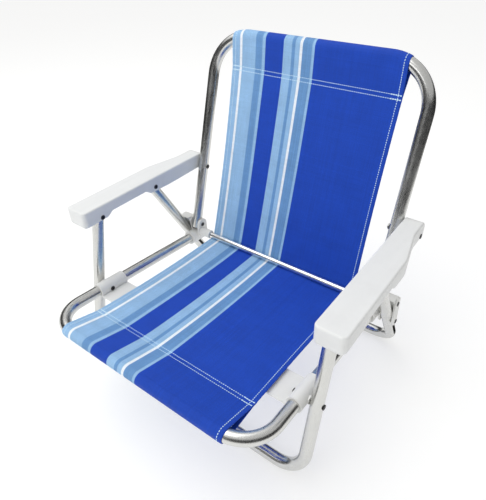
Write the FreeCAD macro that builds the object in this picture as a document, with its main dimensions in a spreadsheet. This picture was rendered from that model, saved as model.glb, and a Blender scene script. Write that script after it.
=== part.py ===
"""A low folding sling chair: bent aluminium tubes, moulded arms and joints, one cloth sling.

Frame: millimetres, +X to the sitter's left, +Y from the seat's front bar to the back, +Z up.
The origin is on the floor, half way across the chair and half way along its depth.
A length "along the rail" is measured rearward from the seat's front bar; a "rise" is square to it.
"""
import FreeCAD
import Part
import math
import os
import Sketcher

from FreeCAD import Placement, Rotation, Vector

doc = FreeCAD.newDocument("sling_chair")
sheet = doc.addObject("Spreadsheet::Sheet", "sizes")


class Size(float):
    """A number together with the sheet formula that gives it."""

    def __new__(cls, number, text):
        size = super().__new__(cls, number)
        size.text = text
        return size

    def __add__(self, other):
        return Size(float(self) + float(other), f"({self.text} + {formula(other)})")

    def __sub__(self, other):
        return Size(float(self) - float(other), f"({self.text} - {formula(other)})")

    def __mul__(self, other):
        return Size(float(self) * float(other), f"({self.text} * {formula(other)})")

    def __truediv__(self, other):
        return Size(float(self) / float(other), f"({self.text} / {formula(other)})")

    def __neg__(self):
        return Size(-float(self), f"(0 - {self.text})")


def formula(value):
    """The text that an expression needs for a Size or a plain number."""
    return value.text if isinstance(value, Size) else f"{float(value):.9f}"


row_names = []


def size(name, number):
    """Write one row of the sheet and give it back as a Size."""
    row_names.append(name)
    row = len(row_names)
    sheet.set(f"A{row}", name)
    sheet.set(f"B{row}", f"{number:.9f}")
    sheet.setAlias(f"B{row}", name)
    return Size(number, f"sizes.{name}")


# ---------------------------------------------------------------- driving sizes

# The bent tubes.
TUBE_DIA = size("tube_dia", 22)
TUBE_WALL = size("tube_wall", 1.2)
FRAME_HALF = size("frame_half", 224)                # centre line of the seat rails and of the back's sides
LEG_GAP = size("leg_gap", 4.5)                      # between a leg tube and the rail or back tube beside it

# The seat frame and the back frame.
SEAT_BAR_HEIGHT = size("seat_bar_height", 170)
SEAT_SLOPE = size("seat_slope", 4.2)
RAIL_LENGTH = size("rail_length", 403)
SEAT_BEND = size("seat_bend", 60)
BACK_PIVOT_SETBACK = size("back_pivot_setback", 6.5)    # in front of the rail's end
BACK_ANGLE = size("back_angle", 75)
BACK_LENGTH = size("back_length", 413.5)
BACK_TAIL = size("back_tail", 10)
BACK_TAIL_GAP = size("back_tail_gap", 1.1)          # between the turning tail and the joint's socket
BACK_BEND = size("back_bend", 80)
ARM_RIVET_UP = size("arm_rivet_up", 136.7)

# The two leg frames.
FRONT_PIVOT_ALONG = size("front_pivot_along", 128.3)
FRONT_LEG_ANGLE = size("front_leg_angle", 78.4)
FRONT_LEG_UPPER = size("front_leg_upper", 143)      # seat rivet to arm pin
LEG_BEND = size("leg_bend", 48)
LEG_TAIL = size("leg_tail", 11)                     # tube left above the arm pin
REAR_LEG_ANGLE = size("rear_leg_angle", 121.207)
MIDDLE_PIN_RISE = size("middle_pin_rise", 3)
GUIDE_PIN_PAST = size("guide_pin_past", 7)          # behind the rail's end
GUIDE_PIN_DROP = size("guide_pin_drop", 19)
FOLD = size("fold", 90)                             # how far the back folds forward

# Rivets and running clearances.
RIVET_RADIUS = size("rivet_radius", 3)
RIVET_FIT = size("rivet_fit", 0.06)
RIVET_HEAD_RADIUS = size("rivet_head_radius", 4.6)
RIVET_HEAD = size("rivet_head", 1.5)
RIVET_HEAD_ROUND = size("rivet_head_round", 0.9)
RIVET_BORE = size("rivet_bore", 1.7)                # both ends are drilled out and rolled over
RIVET_BORE_DEPTH = size("rivet_bore_depth", 3)
WASHER_RADIUS = size("washer_radius", 6)
WASHER = size("washer", 0.75)
GUIDE_PIN_RADIUS = size("guide_pin_radius", 2.5)
GUIDE_SLOT_PLAY = size("guide_slot_play", 1.6)
LEG_PIN_PLAY = size("leg_pin_play", 1.4)            # front leg's top hole around the arm's front pin
SIDE_GAP = size("side_gap", 0.4)
TUBE_FIT = size("tube_fit", 0.05)

# The bridge between the rails.
BRIDGE_LEAD = size("bridge_lead", 24.3)             # in front of the front leg's rivet
BRIDGE_WIDTH = size("bridge_width", 62)
BRIDGE_PLATE = size("bridge_plate", 3.5)
BRIDGE_PLATE_DROP = size("bridge_plate_drop", 5.5)
SLEEVE_WALL = size("sleeve_wall", 3)
LEG_BOSS_RADIUS = size("leg_boss_radius", 7.4)

# The rear joints and the cross bar between them.
JOINT_COVER = size("joint_cover", 35)               # length of rail inside the socket
JOINT_END_WALL = size("joint_end_wall", 6)
JOINT_WALL = size("joint_wall", 4)
JOINT_EDGE_ROUND = size("joint_edge_round", 1.2)
EAR_RADIUS = size("ear_radius", 12.5)
EAR_ROUND = size("ear_round", 11.25)
EAR_INNER = size("ear_inner", 5)
EAR_FOOT = size("ear_foot", 6.25)                   # how far the inner ear widens behind, at its foot
CRADLE_WALL = size("cradle_wall", 4.5)
CRADLE_FOOT_RADIUS = size("cradle_foot_radius", 8.5)
CRADLE_FOOT_ROUND = size("cradle_foot_round", 7.65)
CRADLE_BLOCK_UP = size("cradle_block_up", 7.7)      # the block behind the leg starts this far up the leg
MERGE = size("merge", 1)                            # how far joined lumps of one moulding run into each other
CROSSBAR_DIA = size("crossbar_dia", 13)
CROSSBAR_SETBACK = size("crossbar_setback", 8.5)    # in front of the rail's end
CROSSBAR_RISE = size("crossbar_rise", 14)
CROSSBAR_INSET = size("crossbar_inset", 21)         # its end, from the rail's centre line
CROSSBAR_SOCKET_WALL = size("crossbar_socket_wall", 3.2)
CROSSBAR_SOCKET = size("crossbar_socket", 23)       # length of the bar inside its socket

# The arms.
ARM_WIDTH = size("arm_width", 50)
ARM_REAR_WIDTH = size("arm_rear_width", 34)
ARM_BACK_GAP = size("arm_back_gap", 0.75)           # between the arm and the back tube
ARM_WALL = size("arm_wall", 2.5)
ARM_TOP = size("arm_top", 25)                       # above the line through the pins
ARM_TOP_WALL = size("arm_top_wall", 3)
ARM_FRONT = size("arm_front", 40)                   # in front of the front pin
ARM_REAR = size("arm_rear", 16)                     # past the rear rivet
ARM_CORNER = size("arm_corner", 9)
ARM_WAIST = size("arm_waist", 2)                    # lower edge between the pins, above their line
ARM_SKIRT = size("arm_skirt", 7)                    # lower edge at the pins, below their line
ARM_NOSE_DROP = size("arm_nose_drop", 10)
ARM_NOSE = size("arm_nose", 22)
ARM_TAPER_LEAD = size("arm_taper_lead", 111.4)      # the taper starts this far in front of the rear rivet
ARM_TAPER = size("arm_taper", 75)
ARM_TAPER_ROUND = size("arm_taper_round", 68)
ARM_FRONT_WALL = size("arm_front_wall", 5)
ARM_RIB_HALF = size("arm_rib_half", 13)
ARM_EDGE_ROUND = size("arm_edge_round", 3.5)
ARM_REAR_ROUND = size("arm_rear_round", 14)
ARM_BELLY_ROUND = size("arm_belly_round", 32)

# The cloth sling.
SLING_WIDTH = size("sling_width", 355.6)
SLING_SKIN = size("sling_skin", 1.5)
SLING_GAP = size("sling_gap", 0.3)
CREASE_DOWN = size("crease_down", 21)               # below the back pivot, along the back tube
CREASE_BACK = size("crease_back", 10)               # behind the back tube's centre line
POCKET_SEAM = size("pocket_seam", 95)               # from a cross bar to the seam that closes its pocket
POCKET_TRIM = size("pocket_trim", 8)                # the pockets are swept this far past the bends, then cut

# ---------------------------------------------------------------- sizes and places worked out from them

TUBE_RADIUS = TUBE_DIA / 2
TUBE_INNER = TUBE_RADIUS - TUBE_WALL
LEG_HALF = FRAME_HALF + TUBE_DIA + LEG_GAP          # centre line of both leg frames' sides
LEG_INSIDE = LEG_HALF - TUBE_RADIUS - SIDE_GAP      # faces that run beside a leg tube
LEG_OUTSIDE = LEG_HALF + TUBE_RADIUS + SIDE_GAP
BACK_INSIDE = FRAME_HALF - TUBE_RADIUS - SIDE_GAP   # faces that run beside a back tube
BACK_OUTSIDE = FRAME_HALF + TUBE_RADIUS + SIDE_GAP
ARM_INSIDE = FRAME_HALF + TUBE_RADIUS + ARM_BACK_GAP
RIVET_HOLE = RIVET_RADIUS + RIVET_FIT
SOCKET_RADIUS = TUBE_RADIUS + TUBE_FIT

BACK_PIVOT_ALONG = RAIL_LENGTH - BACK_PIVOT_SETBACK
GUIDE_PIN_ALONG = RAIL_LENGTH + GUIDE_PIN_PAST
JOINT_FRONT = RAIL_LENGTH - JOINT_COVER
CROSSBAR_ALONG = RAIL_LENGTH - CROSSBAR_SETBACK
CROSSBAR_HALF = FRAME_HALF - CROSSBAR_INSET
CROSSBAR_SOCKET_HALF = CROSSBAR_HALF - CROSSBAR_SOCKET
BRIDGE_FRONT = FRONT_PIVOT_ALONG - BRIDGE_LEAD
BACK_PIVOT_RISE = size(
    "back_pivot_rise", TUBE_RADIUS + JOINT_WALL + math.hypot(BACK_TAIL, TUBE_RADIUS) + BACK_TAIL_GAP)


def turned(origin, degrees, along, rise):
    """The (y, z) point at along and rise in a frame turned by degrees about its origin."""
    cosine = math.cos(math.radians(degrees))
    sine = math.sin(math.radians(degrees))
    return (origin[0] + along * cosine - rise * sine, origin[1] + along * sine + rise * cosine)


def heading(start, end):
    """The angle of the line from start to end, in degrees from +Y towards +Z."""
    return math.degrees(math.atan2(end[1] - start[1], end[0] - start[0]))


def on_rail(along, rise):
    return turned((0, SEAT_BAR_HEIGHT), -SEAT_SLOPE, along, rise)


FRONT_PIVOT = on_rail(FRONT_PIVOT_ALONG, 0)
BACK_PIVOT = on_rail(BACK_PIVOT_ALONG, BACK_PIVOT_RISE)
ARM_REAR_PIN = turned(BACK_PIVOT, BACK_ANGLE, ARM_RIVET_UP, 0)
ARM_FRONT_PIN = turned(FRONT_PIVOT, FRONT_LEG_ANGLE, FRONT_LEG_UPPER, 0)
ARM_PITCH = heading(ARM_FRONT_PIN, ARM_REAR_PIN)
GUIDE_PIN = on_rail(GUIDE_PIN_ALONG, -GUIDE_PIN_DROP)
BACK_TOP = turned(BACK_PIVOT, BACK_ANGLE, BACK_LENGTH, 0)

FRONT_LEG_LOWER = size(
    "front_leg_lower", (FRONT_PIVOT[1] - TUBE_RADIUS) / math.sin(math.radians(FRONT_LEG_ANGLE)))
GUIDE_UP_LEG = size(
    "guide_up_leg", (GUIDE_PIN[1] - TUBE_RADIUS) / math.sin(math.radians(REAR_LEG_ANGLE)))
ARM_SPAN = size("arm_span", math.dist(ARM_FRONT_PIN, ARM_REAR_PIN))


def middle_pin_back():
    """How far behind the arm's front pin the rear leg's line comes up to the height of the middle pin."""
    apart = math.dist(ARM_FRONT_PIN, GUIDE_PIN)
    below = math.radians(heading(ARM_FRONT_PIN, GUIDE_PIN) - ARM_PITCH)
    slant = math.radians(REAR_LEG_ANGLE - ARM_PITCH)
    climb = MIDDLE_PIN_RISE - apart * math.sin(below)
    return apart * math.cos(below) + climb / math.tan(slant)


MIDDLE_PIN_BACK = size("middle_pin_back", middle_pin_back())
ARM_MIDDLE_PIN = turned(ARM_FRONT_PIN, ARM_PITCH, MIDDLE_PIN_BACK, MIDDLE_PIN_RISE)
REAR_LEG_UPPER = size("rear_leg_upper", math.dist(GUIDE_PIN, ARM_MIDDLE_PIN))



def folded_arm():
    """The folded arm's pitch, and its front pin, where the front leg's and the arm's circles meet."""
    rear_pin = turned(BACK_PIVOT, BACK_ANGLE + FOLD, ARM_RIVET_UP, 0)
    apart = math.dist(FRONT_PIVOT, rear_pin)
    across = (FRONT_LEG_UPPER ** 2 + apart ** 2 - ARM_SPAN ** 2) / (2 * apart)
    aside = math.sqrt(FRONT_LEG_UPPER ** 2 - across ** 2)
    front_pin = turned(FRONT_PIVOT, heading(FRONT_PIVOT, rear_pin), across, aside)
    return heading(front_pin, rear_pin), front_pin


# The rear leg slides down past its guide pin as the chair folds: its slot is that long.
folded_pitch, folded_front_pin = folded_arm()
folded_middle_pin = turned(folded_front_pin, folded_pitch, MIDDLE_PIN_BACK, MIDDLE_PIN_RISE)
SLIDE = size("slide", math.dist(GUIDE_PIN, folded_middle_pin) - REAR_LEG_UPPER)

MIDDLE = BACK_TOP[0] / 2                            # half way from the front bar to the back's top bar


# ---------------------------------------------------------------- helpers

def new_body(label, origin, degrees):
    """A body whose local Y runs along the piece; origin is its (y, z) place in the chair."""
    body = doc.addObject("PartDesign::Body", label)
    body.Label = label
    body.Placement = Placement(Vector(0, origin[0] - MIDDLE, origin[1]), Rotation(Vector(1, 0, 0), degrees))
    return body


def new_sketch(body, role, offset=0.0):
    """A sketch on one of the body's own origin planes, moved along that plane's normal."""
    sketch = body.newObject("Sketcher::SketchObject", f"{body.Name}_sketch")
    plane = [feature for feature in body.Origin.OriginFeatures if feature.Role == role][0]
    sketch.AttachmentSupport = [(plane, "")]
    sketch.MapMode = "FlatFace"
    sketch.AttachmentOffset = Placement(Vector(0, 0, float(offset)), Rotation())
    sketch.setExpression("AttachmentOffset.Base.z", formula(offset))
    return sketch


def pin_point(sketch, geometry, end, x, y):
    """Hold one point of a sketch at x and y, which may be Sizes."""
    for kind, value, axis in (("DistanceX", x, -2), ("DistanceY", y, -1)):
        if abs(float(value)) < 1e-9:
            sketch.addConstraint(Sketcher.Constraint("PointOnObject", geometry, end, axis))
            continue
        index = sketch.addConstraint(Sketcher.Constraint(kind, -1, 1, geometry, end, float(value)))
        sketch.setExpression(f"Constraints[{index}]", formula(value))


def add_circle(sketch, x, y, radius):
    circle = sketch.addGeometry(Part.Circle(Vector(float(x), float(y), 0), Vector(0, 0, 1), float(radius)))
    pin_point(sketch, circle, 3, x, y)
    index = sketch.addConstraint(Sketcher.Constraint("Radius", circle, float(radius)))
    sketch.setExpression(f"Constraints[{index}]", formula(radius))


def add_outline(sketch, corners, closed=True):
    """Straight lines through corners (x, y, bend radius); a radius above 0 rounds its corner."""
    points = [Vector(float(x), float(y), 0) for x, y, _ in corners]
    count = len(points)
    sides = count if closed else count - 1
    trims = []
    for index, (_, _, bend) in enumerate(corners):
        if float(bend) == 0:
            trims.append(0.0)
            continue
        before = points[index - 1] - points[index]
        after = points[(index + 1) % count] - points[index]
        trims.append(float(bend) / math.tan(before.getAngle(after) / 2))
    lines = []
    for index in range(sides):
        start, stop = points[index], points[(index + 1) % count]
        way = (stop - start).normalize()
        first = start + way * trims[index]
        last = stop - way * trims[(index + 1) % count]
        lines.append(sketch.addGeometry(Part.LineSegment(first, last)))
    for index, (x, y, bend) in enumerate(corners):
        before = lines[index - 1] if closed or index > 0 else None
        after = lines[index] if index < sides else None
        if before is None or after is None:
            pin_point(sketch, lines[0] if before is None else before, 1 if before is None else 2, x, y)
            continue
        if float(bend) == 0:
            pin_point(sketch, after, 1, x, y)
            sketch.addConstraint(Sketcher.Constraint("Coincident", before, 2, after, 1))
            continue
        add_bend(sketch, points[index], before, after, x, y, bend)


def add_bend(sketch, corner, before, after, x, y, bend):
    """Round the corner between two lines with a tangent arc; the corner itself stays at x and y."""
    first = sketch.Geometry[before].EndPoint
    last = sketch.Geometry[after].StartPoint
    inward = ((first - corner) + (last - corner)).normalize()
    reach = math.hypot(float(bend), (first - corner).Length)
    centre = corner + inward * reach
    turn = (first - corner).cross(last - corner).z
    begin, end = (last, first) if turn > 0 else (first, last)
    start_angle = math.atan2(begin.y - centre.y, begin.x - centre.x)
    end_angle = math.atan2(end.y - centre.y, end.x - centre.x)
    circle = Part.Circle(centre, Vector(0, 0, 1), float(bend))
    arc = sketch.addGeometry(Part.ArcOfCircle(circle, start_angle, end_angle))
    before_end, after_end = (2, 1) if turn > 0 else (1, 2)
    sketch.addConstraint(Sketcher.Constraint("Tangent", before, 2, arc, before_end))
    sketch.addConstraint(Sketcher.Constraint("Tangent", arc, after_end, after, 1))
    index = sketch.addConstraint(Sketcher.Constraint("Radius", arc, float(bend)))
    sketch.setExpression(f"Constraints[{index}]", formula(bend))
    mark = sketch.addGeometry(Part.Point(corner), True)
    pin_point(sketch, mark, 1, x, y)
    sketch.addConstraint(Sketcher.Constraint("PointOnObject", mark, 1, before))
    sketch.addConstraint(Sketcher.Constraint("PointOnObject", mark, 1, after))


def pad(body, sketch, length, reverse=False, both_ways=False):
    feature = body.newObject("PartDesign::Pad", f"{body.Name}_pad")
    feature.Profile = sketch
    feature.Reversed = reverse
    feature.Midplane = both_ways
    feature.Length = float(length)
    feature.setExpression("Length", formula(length))
    return feature


def pocket(body, sketch, length, reverse=False, both_ways=False):
    feature = body.newObject("PartDesign::Pocket", f"{body.Name}_pocket")
    feature.Profile = sketch
    feature.Reversed = reverse
    feature.Midplane = both_ways
    feature.Length = float(length)
    feature.setExpression("Length", formula(length))
    return feature


def slot_across(body, holes, depth, offset=0.0):
    """Cut round holes (along, rise, radius) through a body from side to side, along X."""
    sketch = new_sketch(body, "YZ_Plane", offset)
    for along, rise, radius in holes:
        add_circle(sketch, along, rise, radius)
    return pocket(body, sketch, depth, both_ways=True)


def pipe(body, corners, start, kind, radii):
    """Sweep circles of the given radii along an open outline that starts at the height start."""
    path = new_sketch(body, "XY_Plane")
    add_outline(path, corners, closed=False)
    ring = new_sketch(body, "XZ_Plane", -start)
    for radius in radii:
        add_circle(ring, corners[0][0], 0, radius)
    feature = body.newObject(f"PartDesign::{kind}Pipe", f"{body.Name}_pipe")
    feature.Profile = ring
    feature.Spine = path
    return feature


def mirror_across(body, feature):
    """Add the feature's twin on the other side of the chair."""
    mirror = body.newObject("PartDesign::Mirrored", f"{body.Name}_mirrored")
    mirror.Originals = [feature]
    plane = [item for item in body.Origin.OriginFeatures if item.Role == "YZ_Plane"][0]
    mirror.MirrorPlane = (plane, [""])
    body.Tip = mirror


def u_tube(label, origin, degrees, half, ends, bar, bend):
    """A tube bent to a U: two sides at -half and +half from ends to a cross bar at bar."""
    body = new_body(label, origin, degrees)
    corners = [(-half, ends, 0), (-half, bar, bend), (half, bar, bend), (half, ends, 0)]
    pipe(body, corners, ends, "Additive", (TUBE_RADIUS, TUBE_INNER))
    return body


def rivet(label, origin, inner, outer, radius, side=0):
    """A tubular rivet along X from inner to outer: on one side, or on both where side is 0."""
    body = new_body(label, origin, 0)
    sketch = new_sketch(body, "XY_Plane")
    bore_start = inner - RIVET_HEAD + RIVET_BORE_DEPTH
    bore_end = outer + RIVET_HEAD - RIVET_BORE_DEPTH
    add_outline(sketch, [
        (bore_start, 0, 0),
        (bore_start, RIVET_BORE, 0),
        (inner - RIVET_HEAD, RIVET_BORE, 0),
        (inner - RIVET_HEAD, RIVET_HEAD_RADIUS, RIVET_HEAD_ROUND),
        (inner, RIVET_HEAD_RADIUS, 0),
        (inner, radius, 0),
        (outer, radius, 0),
        (outer, RIVET_HEAD_RADIUS, 0),
        (outer + RIVET_HEAD, RIVET_HEAD_RADIUS, RIVET_HEAD_ROUND),
        (outer + RIVET_HEAD, RIVET_BORE, 0),
        (bore_end, RIVET_BORE, 0),
        (bore_end, 0, 0),
    ])
    turned_part = body.newObject("PartDesign::Revolution", f"{body.Name}_revolution")
    turned_part.Profile = sketch
    turned_part.ReferenceAxis = (sketch, ["H_Axis"])
    turned_part.Angle = 360
    if side == 0:
        body.AllowCompound = True
        mirror_across(body, turned_part)
    elif side < 0:
        body.Placement.Rotation = Rotation(Vector(0, 0, 1), 180)


# ---------------------------------------------------------------- the four bent tubes

def seat_frame():
    body = u_tube("seat_frame_tube", (0, SEAT_BAR_HEIGHT), -SEAT_SLOPE, FRAME_HALF, RAIL_LENGTH,
                  Size(0, "0"), SEAT_BEND)
    slot_across(body, [(FRONT_PIVOT_ALONG, 0, RIVET_HOLE)], SLING_WIDTH * 2)


def back_frame():
    body = u_tube("back_frame_tube", BACK_PIVOT, BACK_ANGLE, FRAME_HALF, -BACK_TAIL, BACK_LENGTH, BACK_BEND)
    slot_across(body, [(0, 0, RIVET_HOLE), (ARM_RIVET_UP, 0, RIVET_HOLE)], SLING_WIDTH * 2)


def front_leg():
    foot = turned(FRONT_PIVOT, FRONT_LEG_ANGLE, -FRONT_LEG_LOWER, 0)
    pin = FRONT_LEG_LOWER + FRONT_LEG_UPPER
    body = u_tube("front_leg_tube", foot, FRONT_LEG_ANGLE, LEG_HALF, pin + LEG_TAIL, Size(0, "0"), LEG_BEND)
    slot_across(body, [
        (FRONT_LEG_LOWER, 0, RIVET_HOLE),
        (pin, 0, RIVET_RADIUS + LEG_PIN_PLAY),
    ], SLING_WIDTH * 2)


def rear_leg():
    foot = turned(GUIDE_PIN, REAR_LEG_ANGLE, -GUIDE_UP_LEG, 0)
    pin = GUIDE_UP_LEG + REAR_LEG_UPPER
    body = u_tube("rear_leg_tube", foot, REAR_LEG_ANGLE, LEG_HALF, pin + LEG_TAIL, Size(0, "0"), LEG_BEND)
    slot_half = GUIDE_PIN_RADIUS + GUIDE_SLOT_PLAY
    slot_foot = GUIDE_UP_LEG - SLIDE
    slot_across(body, [
        (pin, 0, RIVET_HOLE),
        (GUIDE_UP_LEG, 0, slot_half),
        (slot_foot, 0, slot_half),
    ], SLING_WIDTH * 2)
    sketch = new_sketch(body, "YZ_Plane")
    add_outline(sketch, [
        (slot_foot, -slot_half, 0),
        (GUIDE_UP_LEG, -slot_half, 0),
        (GUIDE_UP_LEG, slot_half, 0),
        (slot_foot, slot_half, 0),
    ])
    pocket(body, sketch, SLING_WIDTH * 2, both_ways=True)


# ---------------------------------------------------------------- mouldings on the seat frame

def along_rail_disc(body, side, start, length, radius, cut=False):
    """A round bar, or a bore, along one seat rail."""
    sketch = new_sketch(body, "XZ_Plane", -start)
    add_circle(sketch, FRAME_HALF * side, 0, radius)
    if cut:
        return pocket(body, sketch, length)
    return pad(body, sketch, length, reverse=True)


def across_plate(body, side, inner, outer, corners):
    """A plate with the given side outline, from inner to outer across the chair."""
    sketch = new_sketch(body, "YZ_Plane", inner * side)
    add_outline(sketch, corners)
    return pad(body, sketch, outer - inner, reverse=side < 0)


def across_disc(body, side, inner, outer, along, rise, radius, cut=False):
    """A round bar, or a bore, from inner to outer across the chair."""
    sketch = new_sketch(body, "YZ_Plane", inner * side)
    add_circle(sketch, along, rise, radius)
    if cut:
        return pocket(body, sketch, outer - inner, reverse=side > 0)
    return pad(body, sketch, outer - inner, reverse=side < 0)


def chosen_edges(feature, test):
    return [f"Edge{index + 1}" for index, edge in enumerate(feature.Shape.Edges) if test(edge)]


def fillet(body, feature, test, radius):
    """Round the feature's edges that pass the test."""
    doc.recompute()
    rounding = body.newObject("PartDesign::Fillet", f"{body.Name}_fillet")
    rounding.Base = (feature, chosen_edges(feature, test))
    rounding.Radius = float(radius)
    rounding.setExpression("Radius", formula(radius))
    return rounding


def face_edges(half):
    """A test for edges that lie in the plane at half, on either side of the chair."""
    def test(edge):
        box = edge.BoundBox
        return all(abs(abs(x) - half) < 0.001 for x in (box.XMin, box.XMax))
    return test


def rear_joint(label, side):
    """Socket for the rail end, fork for the back tube, socket for the cross bar, cradle for the leg."""
    body = new_body(label, (0, SEAT_BAR_HEIGHT), -SEAT_SLOPE)
    socket_length = JOINT_COVER + JOINT_END_WALL
    along_rail_disc(body, side, JOINT_FRONT, socket_length, TUBE_RADIUS + JOINT_WALL)

    ear_front = BACK_PIVOT_ALONG - EAR_RADIUS
    ear_rear = BACK_PIVOT_ALONG + EAR_RADIUS
    ear_top = BACK_PIVOT_RISE + EAR_RADIUS
    foot_front = GUIDE_PIN_ALONG - CRADLE_FOOT_RADIUS
    foot_rear = GUIDE_PIN_ALONG + CRADLE_FOOT_RADIUS
    foot_low = -(GUIDE_PIN_DROP + CRADLE_FOOT_RADIUS)
    across_plate(body, side, BACK_INSIDE - EAR_INNER, BACK_INSIDE, [
        (ear_front, 0, 0),
        (ear_front, ear_top, EAR_ROUND),
        (ear_rear, ear_top, EAR_ROUND),
        (ear_rear + EAR_FOOT, 0, 0),
    ])
    link = [
        (foot_front, foot_low, CRADLE_FOOT_ROUND),
        (ear_front, ear_top, EAR_ROUND),
        (ear_rear, ear_top, EAR_ROUND),
        (foot_rear, foot_low, CRADLE_FOOT_ROUND),
    ]
    across_plate(body, side, BACK_OUTSIDE, LEG_INSIDE, link)
    cradle_face = LEG_OUTSIDE + CRADLE_WALL
    across_plate(body, side, LEG_OUTSIDE, cradle_face, link)

    # The block behind the leg stops it from opening further; it ends clear of the turning leg.
    leg_slant = REAR_LEG_ANGLE + SEAT_SLOPE
    guide = (GUIDE_PIN_ALONG, -GUIDE_PIN_DROP)
    low = turned(guide, leg_slant, CRADLE_BLOCK_UP, -(TUBE_RADIUS + SIDE_GAP))
    climb = (ear_top - low[1]) / math.sin(math.radians(leg_slant))
    high = turned(low, leg_slant, climb, 0)
    across_plate(body, side, LEG_INSIDE - MERGE, LEG_OUTSIDE + MERGE, [
        (low[0], low[1], 0),
        (high[0], high[1], 0),
        (ear_rear, ear_top, EAR_ROUND),
        (foot_rear - MERGE, low[1], 0),
    ])
    socket = across_disc(body, side, CROSSBAR_SOCKET_HALF, BACK_INSIDE, CROSSBAR_ALONG, CROSSBAR_RISE,
                         CROSSBAR_DIA / 2 + CROSSBAR_SOCKET_WALL)
    cradle_round = fillet(body, socket, face_edges(cradle_face), JOINT_EDGE_ROUND)
    fillet(body, cradle_round, face_edges(CROSSBAR_SOCKET_HALF), JOINT_EDGE_ROUND)

    along_rail_disc(body, side, JOINT_FRONT, JOINT_COVER, SOCKET_RADIUS, cut=True)
    across_disc(body, side, CROSSBAR_SOCKET_HALF, CROSSBAR_HALF, CROSSBAR_ALONG, CROSSBAR_RISE,
                CROSSBAR_DIA / 2 + TUBE_FIT, cut=True)
    across_disc(body, side, CROSSBAR_HALF, cradle_face + MERGE, BACK_PIVOT_ALONG, BACK_PIVOT_RISE,
                RIVET_HOLE, cut=True)
    across_disc(body, side, FRAME_HALF, cradle_face + MERGE, GUIDE_PIN_ALONG, -GUIDE_PIN_DROP,
                GUIDE_PIN_RADIUS + RIVET_FIT, cut=True)


def rear_crossbar():
    body = new_body("rear_crossbar", on_rail(CROSSBAR_ALONG, CROSSBAR_RISE), 0)
    sketch = new_sketch(body, "YZ_Plane")
    add_circle(sketch, 0, 0, CROSSBAR_DIA / 2)
    add_circle(sketch, 0, 0, CROSSBAR_DIA / 2 - TUBE_WALL)
    pad(body, sketch, CROSSBAR_HALF * 2, both_ways=True)


def front_bridge():
    """A flat plate under the sling whose ends wrap the rails as sleeves, with a boss for each leg."""
    body = new_body("front_bridge", (0, SEAT_BAR_HEIGHT), -SEAT_SLOPE)
    plate_top = -BRIDGE_PLATE_DROP
    plate_half = FRAME_HALF - TUBE_RADIUS / 2
    sketch = new_sketch(body, "XZ_Plane", -BRIDGE_FRONT)
    add_outline(sketch, [
        (-plate_half, plate_top - BRIDGE_PLATE, 0),
        (plate_half, plate_top - BRIDGE_PLATE, 0),
        (plate_half, plate_top, 0),
        (-plate_half, plate_top, 0),
    ])
    pad(body, sketch, BRIDGE_WIDTH, reverse=True)
    for side in (-1, 1):
        along_rail_disc(body, side, BRIDGE_FRONT, BRIDGE_WIDTH, TUBE_RADIUS + SLEEVE_WALL)
        across_disc(body, side, FRAME_HALF + TUBE_RADIUS, LEG_INSIDE, FRONT_PIVOT_ALONG, 0, LEG_BOSS_RADIUS)
    for side in (-1, 1):
        along_rail_disc(body, side, BRIDGE_FRONT - MERGE, BRIDGE_WIDTH + MERGE * 2, SOCKET_RADIUS, cut=True)
    slot_across(body, [(FRONT_PIVOT_ALONG, 0, RIVET_HOLE)], SLING_WIDTH * 2)


# ---------------------------------------------------------------- arms

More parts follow.
